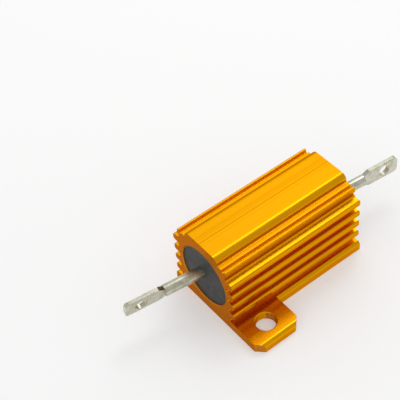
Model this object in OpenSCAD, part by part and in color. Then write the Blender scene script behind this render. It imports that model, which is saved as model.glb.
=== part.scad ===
// Aluminium housed wirewound power resistor for chassis mounting.
// Millimetres. X runs along the resistor, Z is up, and the origin is the
// centre of the mounting face.

/* [Housing] */
// Length of the extruded housing
housing_l = 27; // [24:0.5:40]
// Height from the mounting face to the flat top
housing_h = 15; // [14.8:0.1:17]
// Radius of the bore that holds the resistance element
bore_r = 5.5; // [5.2:0.05:5.8]
// Metal between the bore and the mounting face
floor_t = 1.9; // [1.6:0.05:2.1]
// Metal between the bore and the bottom of the fin gaps
wall_t = 0.55; // [0.45:0.05:1]
// Deburred edge at each mouth of the bore
bore_break = 0.2; // [0.1:0.05:0.4]

/* [Fins] */
// Thickness of a fin at its tip
fin_t = 1.15; // [0.9:0.05:1.2]
// Thickness of a fin at its root
fin_root = 1.5; // [1.25:0.05:1.55]
// Gap between the tips of two fins
fin_gap = 1.3; // [1.1:0.05:1.4]
// How far a fin stands out from the bottom of the gap
fin_depth = 1.4; // [1:0.1:1.8]
// Rounding of the fin tips
fin_round = 0.35; // [0.2:0.05:0.45]
// Fillet between a fin and the wall
fin_fillet = 0.35; // [0.15:0.05:0.4]

/* [Top] */
// Width of the flat top between its rounded shoulders
top_flat = 5.8; // [5.2:0.1:6.2]
// Radius of the two shoulders
shoulder_r = 1.2; // [1:0.05:1.3]
// Depth of the land beside the raised top
land_drop = 1.35; // [1.3:0.05:1.7]
// Width of the land beside the raised top
land_w = 1; // [0.8:0.05:1.1]
// Fillet between the land and the raised top
land_fillet = 0.2; // [0.1:0.05:0.3]
// Width of the groove outside the land
groove_w = 0.55; // [0.4:0.05:0.6]
// Depth of the groove below the land
groove_depth = 0.5; // [0.3:0.05:0.55]
// Height of the outer rib above the land
rib_rise = 0.1; // [0:0.05:0.2]
// Rounding of the edges of the land and the rib
rib_round = 0.18; // [0.1:0.02:0.2]
// Thickness of the lip from the land down to its underside
lip_t = 0.9; // [0.7:0.05:1.1]
// How far the lip stands out past the fin gaps' bottoms
lip_out = 0.1; // [0:0.05:0.3]
// How far the side wall is set back under the lip
lip_set = 0.25; // [0.15:0.05:0.3]

/* [Foot and ears] */
// Thickness of the foot and its ears
foot_t = 1.8; // [1.6:0.05:2]
// Width of the foot where the ears are milled away
foot_w = 15.8; // [15.2:0.1:17]
// Width over the two ears
ears_w = 27.2; // [26.4:0.1:29]
// Length of an ear along the housing
ear_l = 8.8; // [8:0.1:11]
// Chamfer on an ear's outer corners
ear_chamfer = 1.3; // [0.8:0.1:1.8]
// Rounding of the foot's and the ears' upper edges
foot_round = 0.7; // [0.3:0.05:0.9]
// Distance from a mounting hole's centre to the end of the housing
hole_end = 4.35; // [4:0.05:4.6]
// Distance from a mounting hole's centre to the outer edge of its ear
hole_side = 3.6; // [3.2:0.05:3.9]
// Diameter of a mounting hole
hole_d = 3.5; // [3.2:0.1:3.7]
// Deburred edge at each mouth of a mounting hole
hole_break = 0.15; // [0.05:0.05:0.25]

/* [Resistance element] */
// Distance from each end of the housing to the ceramic rod inside
core_inset = 4; // [3.5:0.1:5]
// Diameter of the ceramic rod
core_d = 6; // [5.4:0.1:6.4]
// Diameter of the resistance wire
wire_d = 0.3; // [0.25:0.05:0.4]
// Distance between two turns of the wire
wire_pitch = 0.75; // [0.6:0.05:1]
// Depth of an end cap, over the ceramic rod
cap_l = 3.4; // [3:0.1:3.8]
// Sheet thickness of an end cap
cap_t = 0.4; // [0.3:0.05:0.5]
// Angle at which the element sits askew in its moulding
element_skew = 3; // [0:0.5:4]

/* [Moulding] */
// Depth of the moulding's end faces inside the bore
mould_recess = 0.35; // [0.1:0.05:0.6]

/* [Terminals] */
// Diameter of the round stem
stem_d = 2; // [1.8:0.05:2.2]
// Length of stem outside the housing, up to the blade
stem_out = 6.6; // [4.5:0.1:9]
// Length of the flattened blade beyond the stem
blade_l = 7.1; // [6.5:0.1:9]
// Width of the blade
blade_w = 3.3; // [3:0.1:3.8]
// Thickness of the blade
blade_t = 0.8; // [0.6:0.05:1]
// Length over which the blade widens from the stem
flare_l = 1.1; // [0.8:0.1:1.6]
// Rounding of the blade's end corners
tip_r = 0.8; // [0.5:0.1:1.2]
// Rounding of the blade's long edges
blade_edge = 0.12; // [0.05:0.01:0.2]
// Diameter of the eye in the blade
eye_d = 2.2; // [1.8:0.1:2.4]
// Distance from the eye's centre to the blade's end
eye_set = 2.8; // [2.4:0.1:3.2]
// Lean of the front terminal from its cap's axis
front_lean = 4.5; // [0:0.5:5]
// Lean of the rear terminal from its cap's axis
rear_lean = 2.5; // [0:0.5:5]
// Turn of the front blade about its stem
front_roll = -12; // [-90:1:90]
// Turn of the rear blade about its stem
rear_roll = 0; // [-90:1:90]

/* [Hidden] */

$fn = 64;
eps = 0.01;

half_l = housing_l / 2;
bore_z = floor_t + bore_r;
wall_y = bore_r + wall_t;
fin_y = wall_y + fin_depth;
fin_pitch = fin_t + fin_gap;
top_y = top_flat / 2 + shoulder_r;
land_z = housing_h - land_drop;
lip_z = land_z - lip_t;
lip_y = wall_y + lip_out;
fin_count = floor((lip_z - foot_t) / fin_pitch);
fin_slope = atan((fin_root - fin_t) / 2 / fin_depth);
hole_x = half_l - hole_end;
hole_y = ears_w / 2 - hole_side;

core_l = housing_l - 2 * core_inset;
stem_r = stem_d / 2;
wire_r = wire_d / 2;
core_r = core_d / 2;
cap_r = core_r + cap_t;
cap_end = core_l / 2 + cap_t;
cap_mouth = cap_end - cap_l;
stem_l = half_l - cap_end + stem_out;
mould_end = half_l - mould_recess;

// The wire winds along the rod, then climbs onto each cap, where it is welded
wire_clear = 0.01;
turn_steps = 20;
wire_sides = 6;
ramp_turns = 0.6;
tail_turns = 0.5;
wound_l = 2 * (cap_mouth - 2 * wire_d);
wound_turns = round(wound_l / wire_pitch);
all_turns = wound_turns + 2 * (ramp_turns + tail_turns);
tail_x = cap_mouth + 3 * wire_d;
climb_x = wound_l / 2 - wire_r - wire_clear;
// Radius of the wire's path over a round of radius r, whose flats its chords just clear
function path_r(r) = (r + wire_r + wire_clear) / cos(180 / turn_steps);
// Radius of the room that the wire takes over a round of radius r
function room_r(r) = path_r(r) + wire_r + wire_clear;

// The corner between a floor at y = 0 and a wall at x = 0, rounded out by a fillet
module fillet(r) {
    difference() {
        translate([-r, -r]) square(2 * r);
        translate([r, r]) circle(r);
    }
}

// A block from the origin, with the corner at size rounded
module rounded_block(size, r) {
    square([size[0] - r, size[1]]);
    square([size[0], size[1] - r]);
    translate(size - [r, r]) circle(r);
}

// Half a fin, above its middle: a straight flank, a rounded tip and a filleted root
module half_fin() {
    lean = [sin(fin_slope), cos(fin_slope)];
    inner = wall_y - wall_t / 2;
    root = [wall_y + fin_fillet, fin_root / 2 + fin_fillet * (1 - lean[0]) / lean[1]];
    tip = [fin_y - fin_round, fin_t / 2 - fin_round * (1 - lean[0]) / lean[1]];
    difference() {
        polygon([
            [inner, 0], [inner, root[1]], root, root - fin_fillet * lean,
            tip + fin_round * lean, [fin_y, tip[1]], [fin_y, 0]
        ]);
        translate(root) circle(fin_fillet);
    }
    translate(tip) circle(fin_round);
}

// The land beside the raised top, then a groove and the outer rib
module ledge() {
    land_y = top_y + land_w;
    rib_y = land_y + groove_w;
    rib_half = (lip_y - rib_y) / 2;
    groove_r = groove_w / 2;
    groove_z = land_z - groove_depth;
    translate([0, bore_z]) rounded_block([land_y, land_z - bore_z], rib_round);
    translate([top_y, land_z]) fillet(land_fillet);
    difference() {
        translate([0, lip_z]) square([rib_y, groove_z + groove_r - lip_z]);
        translate([land_y + groove_r, groove_z + groove_r]) circle(groove_r);
    }
    for (flip = [0, 1])
        translate([rib_y + rib_half, lip_z]) mirror([flip, 0])
            rounded_block([rib_half, land_z + rib_rise - lip_z], rib_round);
}

// Half of the extrusion's section, right of the middle
module section_half() {
    rounded_block([foot_w / 2, foot_t], foot_round);
    square([wall_y, foot_t + fin_count * fin_pitch]);
    square([wall_y - lip_set, lip_z + eps]);
    translate([wall_y, foot_t]) fillet(fin_fillet);
    ledge();
    translate([0, bore_z]) rounded_block([top_y, housing_h - bore_z], shoulder_r);
    for (i = [0:fin_count - 1])
        translate([0, foot_t + fin_gap + fin_t / 2 + i * fin_pitch]) {
            half_fin();
            mirror([0, 1]) half_fin();
        }
}

// Puts a section drawn in Y and Z along the housing
module along(length) {
    rotate([90, 0, 90]) linear_extrude(length, center = true) children();
}

// The plate of one ear, with the long side of the housing through the middle
module ear_plan() {
    y = ears_w / 2;
    polygon([
        [-half_l, 0],
        [-half_l, -y + ear_chamfer],
        [-half_l + ear_chamfer, -y],
        [-half_l + ear_l - ear_chamfer, -y],
        [-half_l + ear_l, -y + ear_chamfer],
        [-half_l + ear_l, 0]
    ]);
}

module ears() {
    for (turn = [0, 180])
        rotate([0, 0, turn])
            intersection() {
                linear_extrude(foot_t + eps) ear_plan();
                along(housing_l) mirror([1, 0]) rounded_block([ears_w / 2, foot_t], foot_round);
            }
}

// Takes the sharp edge off the mouth of a hole of radius r, whose rim lies at z = 0
module deburr(r, size) {
    translate([0, 0, -size]) cylinder(r1 = r, r2 = r + size + eps, h = size + eps);
}

module mounting_holes() {
    for (side = [-1, 1])
        translate([side * hole_x, side * hole_y, 0]) {
            translate([0, 0, -eps]) cylinder(d = hole_d, h = foot_t + 2 * eps);
            translate([0, 0, foot_t]) deburr(hole_d / 2, hole_break);
            rotate([180, 0, 0]) deburr(hole_d / 2, hole_break);
        }
}

// Places a shape drawn along +Z from the bore's middle so that it runs along X
module on_bore() {
    translate([0, 0, bore_z]) rotate([0, 90, 0]) children();
}

// The same for the element, which sits askew in the bore
module on_element() {
    translate([0, 0, bore_z]) rotate([0, 0, -element_skew]) rotate([0, 90, 0]) children();
}

module housing() {
    color("goldenrod")
    difference() {
        union() {
            along(housing_l) {
                section_half();
                mirror([1, 0]) section_half();
            }
            ears();
        }
        on_bore() cylinder(r = bore_r, h = housing_l + 2 * eps, center = true);
        for (end = [0, 180])
            on_bore() rotate([end, 0, 0]) translate([0, 0, half_l]) deburr(bore_r, bore_break);
        mounting_holes();
    }
}

module moulding() {
    color("dimgray")
    difference() {
        on_bore() cylinder(r = bore_r, h = 2 * mould_end, center = true);
        on_element() {
            cylinder(r = room_r(core_r), h = 2 * tail_x, center = true);
            cylinder(r = cap_r, h = 2 * cap_end, center = true);
            for (end = [0, 180])
                rotate([end, 0, 0])
                    translate([0, 0, climb_x])
                        cylinder(r = room_r(cap_r), h = tail_x + wire_d - climb_x);
            rotate([180, 0, 0]) stem(front_lean);
            stem(rear_lean);
        }
    }
}

module ceramic_core() {
    color("whitesmoke")
    on_element() cylinder(r = core_r, h = core_l, center = true);
}

// The wire's path over the rod and the caps, for turns counted from the middle
function smooth(t) = t * t * (3 - 2 * t);
function clamp01(t) = max(0, min(1, t));
// How far the wire has climbed to the height of a cap, then moved over onto it
function climb(n) = smooth(clamp01((abs(n) - wound_turns / 2) / ramp_turns));
function shift(n) = smooth(clamp01((abs(n) - wound_turns / 2 - ramp_turns) / tail_turns));
function wire_at_r(n) = path_r(core_r + cap_t * climb(n));
function wire_at_x(n) =
    let (m = min(abs(n), wound_turns / 2), x = m * wound_l / wound_turns)
    (n < 0 ? -1 : 1) * (x + shift(n) * (tail_x - wound_l / 2));
function wire_point(n) =
    [wire_at_r(n) * cos(360 * n), wire_at_r(n) * sin(360 * n), wire_at_x(n)];
function unit(v) = v / norm(v);
// A ring of the wire at turn n, square to its path
function wire_ring(n) =
    let (
        p = wire_point(n),
        ahead = unit(wire_point(n + 0.01) - wire_point(n - 0.01)),
        out = unit([p[0], p[1], 0]),
        side = unit(cross(ahead, out)),
        up = cross(side, ahead)
    )
    [for (k = [0:wire_sides - 1])
        p + wire_r * (cos(360 * k / wire_sides) * side + sin(360 * k / wire_sides) * up)];

module resistance_wire() {
    count = round(all_turns * turn_steps);
    rings = [for (i = [0:count]) wire_ring((i / count - 0.5) * all_turns)];
    walls = [for (i = [0:count - 1]) for (k = [0:wire_sides - 1])
        let (a = i * wire_sides, b = a + wire_sides, j = (k + 1) % wire_sides)
        each [[a + k, a + j, b + j], [a + k, b + j, b + k]]];
    start = [for (k = [wire_sides - 1:-1:0]) k];
    finish = [for (k = [0:wire_sides - 1]) count * wire_sides + k];
    color("darkgray")
    on_element()
        polyhedron([for (ring = rings) each ring], concat(walls, [start, finish]), convexity = 10);
}

// A pressed cap, pushed over one end of the rod
module end_cap() {
    color("silver")
    difference() {
        translate([0, 0, cap_mouth]) cylinder(r = cap_r, h = cap_l);
        translate([0, 0, cap_mouth - eps]) cylinder(r = core_r, h = core_l / 2 - cap_mouth + eps);
    }
}

module end_cap_front() { on_element() rotate([180, 0, 0]) end_cap(); }

module end_cap_rear() { on_element() end_cap(); }

// The blade's outline: it widens from the stem and ends in rounded corners
module blade_outline() {
    w = blade_w / 2;
    square_end = blade_l - tip_r;
    polygon([
        [-stem_r, 0], [-w, flare_l], [-w, square_end],
        [w, square_end], [w, flare_l], [stem_r, 0]
    ]);
    translate([tip_r - w, flare_l]) square([blade_w - 2 * tip_r, blade_l - flare_l]);
    for (side = [-1, 1])
        translate([side * (w - tip_r), square_end]) circle(tip_r);
}

// The blade's section, with its long edges rounded
module blade_section() {
    square([blade_w, blade_t - 2 * blade_edge], center = true);
    square([blade_w - 2 * blade_edge, blade_t], center = true);
    for (x = [-1, 1]) for (y = [-1, 1])
        translate([x * (blade_w / 2 - blade_edge), y * (blade_t / 2 - blade_edge)]) circle(blade_edge);
}

// The pierced blade, struck flat from the end of the stem
module blade() {
    difference() {
        intersection() {
            rotate([90, 0, 0]) linear_extrude(blade_t + eps, center = true) blade_outline();
            linear_extrude(blade_l) blade_section();
        }
        translate([0, 0, blade_l - eye_set]) rotate([90, 0, 0])
            cylinder(d = eye_d, h = 2 * blade_t, center = true);
    }
}

// A round stem, butt-welded to the flat end of its cap at a slight lean
module stem(lean) {
    difference() {
        at_weld(lean) translate([0, 0, -stem_r]) cylinder(r = stem_r, h = stem_l + stem_r);
        translate([0, 0, cap_end - stem_d]) cylinder(r = stem_d, h = stem_d);
    }
}

// Moves a shape to the weld on a cap, leaning with its terminal
module at_weld(lean) {
    translate([0, 0, cap_end]) rotate([lean, 0, 0]) children();
}

module terminal(lean, roll) {
    color("lightgray") {
        stem(lean);
        at_weld(lean) translate([0, 0, stem_l - eps]) rotate([0, 0, roll]) blade();
    }
}

module terminal_front() { on_element() rotate([180, 0, 0]) terminal(front_lean, front_roll); }

module terminal_rear() { on_element() terminal(rear_lean, rear_roll); }

housing();
moulding();
ceramic_core();
resistance_wire();
end_cap_front();
end_cap_rear();
terminal_front();
terminal_rear();
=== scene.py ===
import math

import bpy
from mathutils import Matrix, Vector


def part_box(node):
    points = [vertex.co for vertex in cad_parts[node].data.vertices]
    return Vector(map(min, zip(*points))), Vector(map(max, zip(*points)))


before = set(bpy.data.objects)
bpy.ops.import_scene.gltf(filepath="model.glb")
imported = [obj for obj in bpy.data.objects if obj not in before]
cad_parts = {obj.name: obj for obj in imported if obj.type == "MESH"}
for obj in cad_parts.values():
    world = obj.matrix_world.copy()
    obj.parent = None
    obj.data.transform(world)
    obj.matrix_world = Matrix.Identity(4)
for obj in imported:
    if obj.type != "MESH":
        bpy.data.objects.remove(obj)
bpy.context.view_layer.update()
mm = 0.001


def toLinear(hexColour):
    channels = [int(hexColour[i:i + 2], 16) / 255 for i in (1, 3, 5)]
    return [c / 12.92 if c <= 0.04045 else ((c + 0.055) / 1.055) ** 2.4 for c in channels] + [1.0]


def addNode(tree, kind, settings, inputs):
    # settings are the node's own properties; an input is a value, a socket, or a node's first output
    node = tree.nodes.new("ShaderNode" + kind)
    for name, value in settings.items():
        setattr(node, name, value)
    for key, value in inputs.items():
        socket = node.inputs[key] if isinstance(key, int) else next(
            i for i in node.inputs if i.enabled and i.name == key)
        if isinstance(value, bpy.types.Node):
            value = next(o for o in value.outputs if o.enabled)
        if isinstance(value, bpy.types.NodeSocket):
            tree.links.new(value, socket)
        else:
            socket.default_value = value
    return node


def newTree(name):
    material = bpy.data.materials.new(name)
    material.use_nodes = True
    material.node_tree.nodes.clear()
    return material, material.node_tree


def finishNode(name, material):
    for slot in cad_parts[name].material_slots:
        slot.material = material


print("anodised extrusion")
housingFinish = {
    "gold": "#EFA60C",
    "streakGold": "#E39A08",
    "grazing": "#C07A10",     # the dyed film stays gold at a shallow angle
    "sawn": "#CC7F2C",
    "sawnPale": "#DA9846",
    "dieLine": "#D08A04",
    "roughness": (0.22, 0.32),
    "sawnRoughness": 0.5,
    "sawnFrom": (0.6, 0.68),  # how squarely a face looks along the housing to count as sawn
    "relief": 0.0035,         # mm, depth of the drawing lines and the saw marks
    "streakWidth": 0.14,      # mm, across the pull of the die
    "streakLength": 60,       # times longer than wide
    "cloudWidth": 1.6,        # mm, broad bands where the etch took more or less
    "sawPitch": 0.35,         # mm, coarser than real saw marks so that they show
    "sawLength": 12,          # times longer than wide
    "gritSize": 0.3,          # mm
    # y in mm, half width in mm and strength of each scored line
    "dieLines": [(0.37, 0.22, 0.9), (1.0, 0.3, 0.25), (1.5, 0.3, 0.3), (-0.25, 0.25, 0.25)],
}


def anodisedExtrusion(s):
    # Gold anodised 6063 aluminium, extruded, sawn and etched: satin metal with fine drawing
    # lines along the pull, and drier, paler faces where it was sawn and deburred
    material, tree = newTree("goldAnodisedExtrusion")
    place = addNode(tree, "TexCoord", {}, {})
    position = place.outputs["Object"]
    axes = addNode(tree, "SeparateXYZ", {}, {0: position})
    facing = addNode(tree, "SeparateXYZ", {}, {0: place.outputs["Normal"]})
    endwise = addNode(tree, "Math", {"operation": "ABSOLUTE"}, {0: facing.outputs["X"]})
    sawn = addNode(tree, "MapRange", {"interpolation_type": "SMOOTHSTEP"},
                   {"Value": endwise, "From Min": s["sawnFrom"][0], "From Max": s["sawnFrom"][1]})

    drawn = addNode(tree, "Mapping", {}, {"Vector": position, "Scale": (1 / s["streakLength"], 1, 1)})
    streaks = addNode(tree, "TexNoise", {},
                      {"Vector": drawn, "Scale": 1 / (s["streakWidth"] * mm), "Detail": 3})
    clouds = addNode(tree, "TexNoise", {},
                     {"Vector": drawn, "Scale": 1 / (s["cloudWidth"] * mm), "Detail": 2})
    streakShare = addNode(tree, "MapRange", {"interpolation_type": "SMOOTHSTEP"},
                          {"Value": streaks, "From Min": 0.4, "From Max": 0.75, "To Max": 0.35})
    cloudShare = addNode(tree, "MapRange", {"interpolation_type": "SMOOTHSTEP"},
                         {"Value": clouds, "From Min": 0.4, "From Max": 0.7, "To Max": 0.5})
    colour = addNode(tree, "Mix", {"data_type": "RGBA"},
                     {"Factor": streakShare, "A": toLinear(s["gold"]), "B": toLinear(s["streakGold"])})
    colour = addNode(tree, "Mix", {"data_type": "RGBA"},
                     {"Factor": cloudShare, "A": colour, "B": toLinear(s["streakGold"])})

    # Lines that the die scored along the flat top
    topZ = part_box("housing")[1].z
    onTop = addNode(tree, "MapRange", {},
                    {"Value": axes.outputs["Z"], "From Min": topZ - 0.1 * mm, "From Max": topZ})
    lines = 0.0
    for y, halfWidth, strength in s["dieLines"]:
        away = addNode(tree, "Math", {"operation": "SUBTRACT"}, {0: axes.outputs["Y"], 1: y * mm})
        away = addNode(tree, "Math", {"operation": "ABSOLUTE"}, {0: away})
        line = addNode(tree, "MapRange", {"interpolation_type": "SMOOTHSTEP"},
                       {"Value": away, "From Min": 0, "From Max": halfWidth * mm,
                        "To Min": strength, "To Max": 0})
        lines = addNode(tree, "Math", {"operation": "MAXIMUM"}, {0: line, 1: lines})
    lines = addNode(tree, "Math", {"operation": "MULTIPLY"}, {0: lines, 1: onTop})
    colour = addNode(tree, "Mix", {"data_type": "RGBA"},
                     {"Factor": lines, "A": colour, "B": toLinear(s["dieLine"])})

    # Sawn and deburred faces: upright saw marks and a dry grit under the dye
    across = addNode(tree, "Mapping", {}, {"Vector": position, "Scale": (1, 1, 1 / s["sawLength"])})
    sawMarks = addNode(tree, "TexNoise", {},
                       {"Vector": across, "Scale": 1 / (s["sawPitch"] * mm), "Detail": 2})
    grit = addNode(tree, "TexNoise", {},
                   {"Vector": position, "Scale": 1 / (s["gritSize"] * mm), "Detail": 4, "Roughness": 0.7})
    gritShare = addNode(tree, "MapRange", {"interpolation_type": "SMOOTHSTEP"},
                        {"Value": grit, "From Min": 0.35, "From Max": 0.7})
    sawnColour = addNode(tree, "Mix", {"data_type": "RGBA"},
                         {"Factor": gritShare, "A": toLinear(s["sawn"]), "B": toLinear(s["sawnPale"])})
    colour = addNode(tree, "Mix", {"data_type": "RGBA"}, {"Factor": sawn, "A": colour, "B": sawnColour})

    satin = addNode(tree, "MapRange", {},
                    {"Value": streaks, "From Min": 0.3, "From Max": 0.7,
                     "To Min": s["roughness"][0], "To Max": s["roughness"][1]})
    rough = addNode(tree, "Mix", {"data_type": "FLOAT"},
                    {"Factor": sawn, "A": satin, "B": s["sawnRoughness"]})
    relief = addNode(tree, "Mix", {"data_type": "FLOAT"}, {"Factor": sawn, "A": streaks, "B": sawMarks})
    relief = addNode(tree, "Math", {"operation": "SUBTRACT"}, {0: relief, 1: lines})
    bump = addNode(tree, "Bump", {}, {"Height": relief, "Distance": s["relief"] * mm, "Strength": 0.5})
    surface = addNode(tree, "BsdfPrincipled", {},
                      {"Base Color": colour, "Metallic": 1.0, "Specular Tint": toLinear(s["grazing"]),
                       "Roughness": rough, "Normal": bump})
    addNode(tree, "OutputMaterial", {}, {"Surface": surface})
    return material


finishNode("housing", anodisedExtrusion(housingFinish))

print("filled silicone")
mouldingFinish = {
    "dark": "#2A2C2F",
    "light": "#464845",
    "grain": 0.22,            # mm
    "cloud": 2.2,             # mm
    "roughness": (0.48, 0.66),
    "relief": 0.05,           # mm
}


def filledSilicone(s):
    # Filled silicone, poured and cured in the bore: dull slate grey, faintly clouded and gritty
    material, tree = newTree("filledSilicone")
    position = addNode(tree, "TexCoord", {}, {}).outputs["Object"]
    cloud = addNode(tree, "TexNoise", {},
                    {"Vector": position, "Scale": 1 / (s["cloud"] * mm), "Roughness": 0.6})
    grain = addNode(tree, "TexNoise", {},
                    {"Vector": position, "Scale": 1 / (s["grain"] * mm), "Detail": 3, "Roughness": 0.6})
    cloudShare = addNode(tree, "MapRange", {}, {"Value": cloud, "From Min": 0.35, "From Max": 0.7})
    grainShare = addNode(tree, "MapRange", {},
                         {"Value": grain, "From Min": 0.45, "From Max": 0.8, "To Max": 0.5})
    colour = addNode(tree, "Mix", {"data_type": "RGBA"},
                     {"Factor": cloudShare, "A": toLinear(s["dark"]), "B": toLinear(s["light"])})
    colour = addNode(tree, "Mix", {"data_type": "RGBA"},
                     {"Factor": grainShare, "A": colour, "B": toLinear(s["light"])})
    rough = addNode(tree, "MapRange", {},
                    {"Value": grain, "From Min": 0.3, "From Max": 0.7,
                     "To Min": s["roughness"][0], "To Max": s["roughness"][1]})
    height = addNode(tree, "Math", {"operation": "MULTIPLY_ADD"}, {0: cloud, 1: 1.5, 2: grain})
    bump = addNode(tree, "Bump", {}, {"Height": height, "Distance": s["relief"] * mm, "Strength": 0.5})
    surface = addNode(tree, "BsdfPrincipled", {},
                      {"Base Color": colour, "IOR": 1.43, "Roughness": rough, "Normal": bump})
    addNode(tree, "OutputMaterial", {}, {"Surface": surface})
    return material


finishNode("moulding", filledSilicone(mouldingFinish))

print("tinned terminals")
terminalFinish = {
    "bright": "#D2D0C0",
    "dull": "#BCBAA4",
    "patch": 1.1,             # mm, uneven flow of the tin
    "dieGrain": 0.1,          # mm, finer than the patches and drawn out along the stem
    "grainLength": 15,        # times longer than wide
    "roughness": (0.2, 0.34),
    "relief": 0.014,          # mm
}


def tinnedSteel(s):
    # Copper clad steel with a hot dipped tin coat: a soft mirror, slightly yellow and uneven
    material, tree = newTree("tinnedSteel")
    position = addNode(tree, "TexCoord", {}, {}).outputs["Object"]
    drawn = addNode(tree, "Mapping", {}, {"Vector": position, "Scale": (1 / s["grainLength"], 1, 1)})
    patch = addNode(tree, "TexNoise", {}, {"Vector": position, "Scale": 1 / (s["patch"] * mm), "Detail": 3})
    grain = addNode(tree, "TexNoise", {}, {"Vector": drawn, "Scale": 1 / (s["dieGrain"] * mm)})
    patchShare = addNode(tree, "MapRange", {"interpolation_type": "SMOOTHSTEP"},
                         {"Value": patch, "From Min": 0.35, "From Max": 0.68})
    colour = addNode(tree, "Mix", {"data_type": "RGBA"},
                     {"Factor": patchShare, "A": toLinear(s["bright"]), "B": toLinear(s["dull"])})
    rough = addNode(tree, "MapRange", {},
                    {"Value": patch, "From Min": 0.3, "From Max": 0.7,
                     "To Min": s["roughness"][0], "To Max": s["roughness"][1]})
    height = addNode(tree, "Math", {"operation": "MULTIPLY_ADD"}, {0: grain, 1: 0.4, 2: patch})
    bump = addNode(tree, "Bump", {}, {"Height": height, "Distance": s["relief"] * mm, "Strength": 0.5})
    surface = addNode(tree, "BsdfPrincipled", {},
                      {"Base Color": colour, "Metallic": 1.0, "Roughness": rough, "Normal": bump})
    addNode(tree, "OutputMaterial", {}, {"Surface": surface})
    return material


tinned = tinnedSteel(terminalFinish)
for name in ("terminal_front", "terminal_rear"):
    finishNode(name, tinned)

print("rod, wire and caps")
innerFinish = {
    # colours, grain in mm, roughness from and to, metallic, relief in mm
    "firedSteatite": (("#E9E4D6", "#D8D0BD"), 0.3, (0.55, 0.7), 0.0, 0.02),
    "oxidisedAlloyWire": (("#8F8A83", "#6E675F"), 0.5, (0.35, 0.5), 1.0, 0.005),
    "platedPressedSteel": (("#C9CACB", "#AEB0B2"), 0.8, (0.22, 0.34), 1.0, 0.01),
}


def innerMaterial(name):
    # Steatite is off white and dry, the nickel chrome wire dulled brown grey by its first
    # heating, and the nickel plated caps smooth and cool grey
    colours, grainSize, roughness, metallic, relief = innerFinish[name]
    material, tree = newTree(name)
    position = addNode(tree, "TexCoord", {}, {}).outputs["Object"]
    grain = addNode(tree, "TexNoise", {}, {"Vector": position, "Scale": 1 / (grainSize * mm), "Detail": 4})
    share = addNode(tree, "MapRange", {}, {"Value": grain, "From Min": 0.35, "From Max": 0.7})
    colour = addNode(tree, "Mix", {"data_type": "RGBA"},
                     {"Factor": share, "A": toLinear(colours[0]), "B": toLinear(colours[1])})
    rough = addNode(tree, "MapRange", {}, {"Value": grain, "From Min": 0.3, "From Max": 0.7,
                                           "To Min": roughness[0], "To Max": roughness[1]})
    bump = addNode(tree, "Bump", {}, {"Height": grain, "Distance": relief * mm, "Strength": 0.5})
    surface = addNode(tree, "BsdfPrincipled", {},
                      {"Base Color": colour, "Metallic": metallic, "Roughness": rough, "Normal": bump})
    addNode(tree, "OutputMaterial", {}, {"Surface": surface})
    return material


finishNode("ceramic_core", innerMaterial("firedSteatite"))
finishNode("resistance_wire", innerMaterial("oxidisedAlloyWire"))
platedSteel = innerMaterial("platedPressedSteel")
for name in ("end_cap_front", "end_cap_rear"):
    finishNode(name, platedSteel)

print("floor, lamps and camera")
studio = {
    "floorSize": 2.0,         # m
    "floorColour": "#F4F4F4",
    "floorLift": 0.27,        # what rays that see the floor directly get besides its own light
    "worldLevel": 0.62,
    "cameraPlace": (-72.85, -90.22, 141.26),   # mm
    "cameraTurn": (42.798, 4.054, -38.096),    # degrees
    "cameraLens": 96.86,                       # mm, on a 36 mm sensor
    # place in mm, size in m and watts; each lamp faces the middle
    "lamps": {
        "overhead": ((145, 77, 309), 0.12, 0.1),
        "behind": ((172, 212, 296), 0.3, 0.14),
    },
}


def makeFloor(s):
    bpy.ops.mesh.primitive_plane_add(size=s["floorSize"])
    floor = bpy.context.object
    floor.name = "floor"
    material, tree = newTree("paleFloor")
    rays = addNode(tree, "LightPath", {}, {})
    seen = addNode(tree, "Math", {"operation": "MAXIMUM"},
                   {0: rays.outputs["Is Camera Ray"], 1: rays.outputs["Is Glossy Ray"]})
    seen = addNode(tree, "Math", {"operation": "MAXIMUM"}, {0: seen, 1: rays.outputs["Is Transmission Ray"]})
    level = addNode(tree, "Math", {"operation": "MULTIPLY"}, {0: seen, 1: s["floorLift"]})
    paint = addNode(tree, "BsdfDiffuse", {}, {"Color": toLinear(s["floorColour"])})
    lift = addNode(tree, "Emission", {}, {"Color": (1, 1, 1, 1), "Strength": level})
    both = addNode(tree, "AddShader", {}, {0: paint, 1: lift})
    addNode(tree, "OutputMaterial", {}, {"Surface": both})
    floor.data.materials.append(material)


def makeWorld(s):
    world = bpy.data.worlds.new("studio")
    bpy.context.scene.world = world
    world.use_nodes = True
    world.node_tree.nodes.clear()
    sky = addNode(world.node_tree, "Background", {}, {"Color": (1, 1, 1, 1), "Strength": s["worldLevel"]})
    addNode(world.node_tree, "OutputWorld", {}, {"Surface": sky})


def makeLamp(name, place, size, power):
    light = bpy.data.lights.new(name, "AREA")
    light.shape = "SQUARE"
    light.size = size
    light.energy = power
    lamp = bpy.data.objects.new(name, light)
    bpy.context.collection.objects.link(lamp)
    lamp.location = Vector(place) * mm
    lamp.rotation_euler = (-Vector(place)).to_track_quat("-Z", "Y").to_euler()


def makeCamera(s):
    lens = bpy.data.cameras.new("camera")
    lens.lens = s["cameraLens"]
    lens.sensor_width = 36
    lens.clip_start = 0.01
    lens.clip_end = 10
    camera = bpy.data.objects.new("camera", lens)
    bpy.context.collection.objects.link(camera)
    camera.location = Vector(s["cameraPlace"]) * mm
    camera.rotation_euler = [math.radians(angle) for angle in s["cameraTurn"]]
    bpy.context.scene.camera = camera


makeFloor(studio)
makeWorld(studio)
for name, lampSettings in studio["lamps"].items():
    makeLamp(name, *lampSettings)
makeCamera(studio)
bpy.context.scene.view_settings.view_transform = "Standard"
